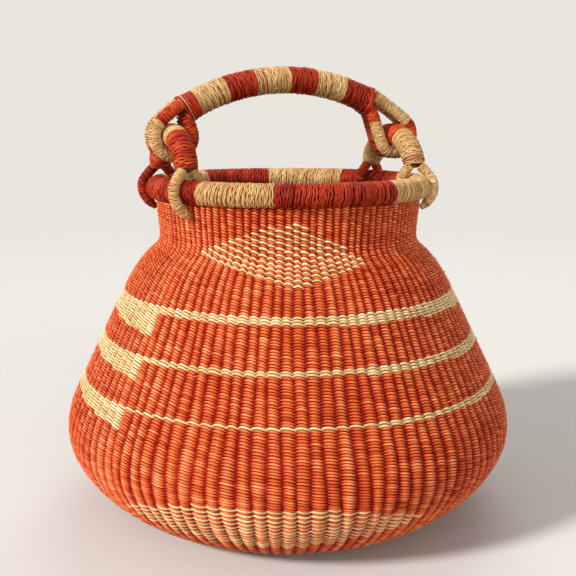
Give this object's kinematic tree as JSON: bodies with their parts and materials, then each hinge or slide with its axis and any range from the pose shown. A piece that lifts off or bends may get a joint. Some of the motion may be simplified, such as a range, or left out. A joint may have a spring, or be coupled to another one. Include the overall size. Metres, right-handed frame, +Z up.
{
  "type": "bolga basket",
  "caption": "Pot-shaped twined grass basket with a narrow open neck, a straw-wrapped rim, two wrapped ears and an arched handle linked through them.",
  "frame": {"origin": "centre of the flat base, on the surface that the basket stands on", "axes": "+Z up through the mouth; X runs from ear to ear, along the handle; the diamonds and lenses face front and back, 28 degrees off Y"},
  "size_m": [0.3998, 0.3986, 0.3914],
  "materials": {
    "straw_orange": "dyed elephant grass, satin",
    "straw_red": "dyed elephant grass, deeper red-orange, satin",
    "straw_natural": "undyed elephant grass, satin",
    "straw_bundle": "undyed grass bundle under the wraps, matt"
  },
  "bodies": {
    "basket": {"diamond_back": "straw_natural", "diamond_front": "straw_natural", "ear_left_core": "straw_bundle", "ear_left_wrap_crown": "straw_natural", "ear_left_wrap_far": "straw_orange", "ear_left_wrap_near": "straw_orange", "ear_right_core": "straw_bundle", "ear_right_whipping": "straw_red", "ear_right_wrap_crown": "straw_orange", "ear_right_wrap_far": "straw_natural", "ear_right_wrap_near": "straw_natural", "floor": "straw_orange", "lens_back": "straw_natural", "lens_front": "straw_natural", "rim_core": "straw_bundle", "rim_wrap_1": "straw_red", "rim_wrap_2": "straw_natural", "rim_wrap_3": "straw_red", "rim_wrap_4": "straw_natural", "rim_wrap_5": "straw_red", "rim_wrap_6": "straw_natural", "rim_wrap_7": "straw_red", "rim_wrap_8": "straw_natural", "stripe_high": "straw_natural", "stripe_low": "straw_natural", "stripe_middle": "straw_natural", "tie_left_far_inside": "straw_red", "tie_left_far_outside": "straw_red", "tie_left_near_inside": "straw_natural", "tie_left_near_outside": "straw_natural", "tie_right_far_inside": "straw_orange", "tie_right_far_outside": "straw_orange", "tie_right_near_inside": "straw_natural", "tie_right_near_outside": "straw_natural", "wall_belly": "straw_orange", "wall_collar": "straw_orange", "wall_foot": "straw_orange", "wall_lower": "straw_orange", "wall_neck": "straw_orange", "wall_shoulder": "straw_orange"},
    "handle": {"handle_core": "straw_bundle", "handle_whipping": "straw_natural", "handle_wrap_1": "straw_red", "handle_wrap_2": "straw_natural", "handle_wrap_3": "straw_red", "handle_wrap_4": "straw_natural", "handle_wrap_5": "straw_red", "handle_wrap_6": "straw_natural", "handle_wrap_7": "straw_red", "loop_left_far_inner": "straw_orange", "loop_left_far_outer": "straw_natural", "loop_left_near_inner": "straw_orange", "loop_left_near_outer": "straw_orange", "loop_left_near_under": "straw_natural", "loop_right_far_inner": "straw_orange", "loop_right_far_outer": "straw_natural", "loop_right_near_inner": "straw_orange", "loop_right_near_outer": "straw_natural", "loop_right_near_side": "straw_orange", "loop_right_near_under": "straw_natural"}
  },
  "joints": [
    {"name": "handle_swing", "type": "hinge", "parent": "basket", "child": "handle", "pos_m": [0, 0, 0.288], "axis": [1, 0, 0], "range_deg": [-40, 40]}
  ]
}
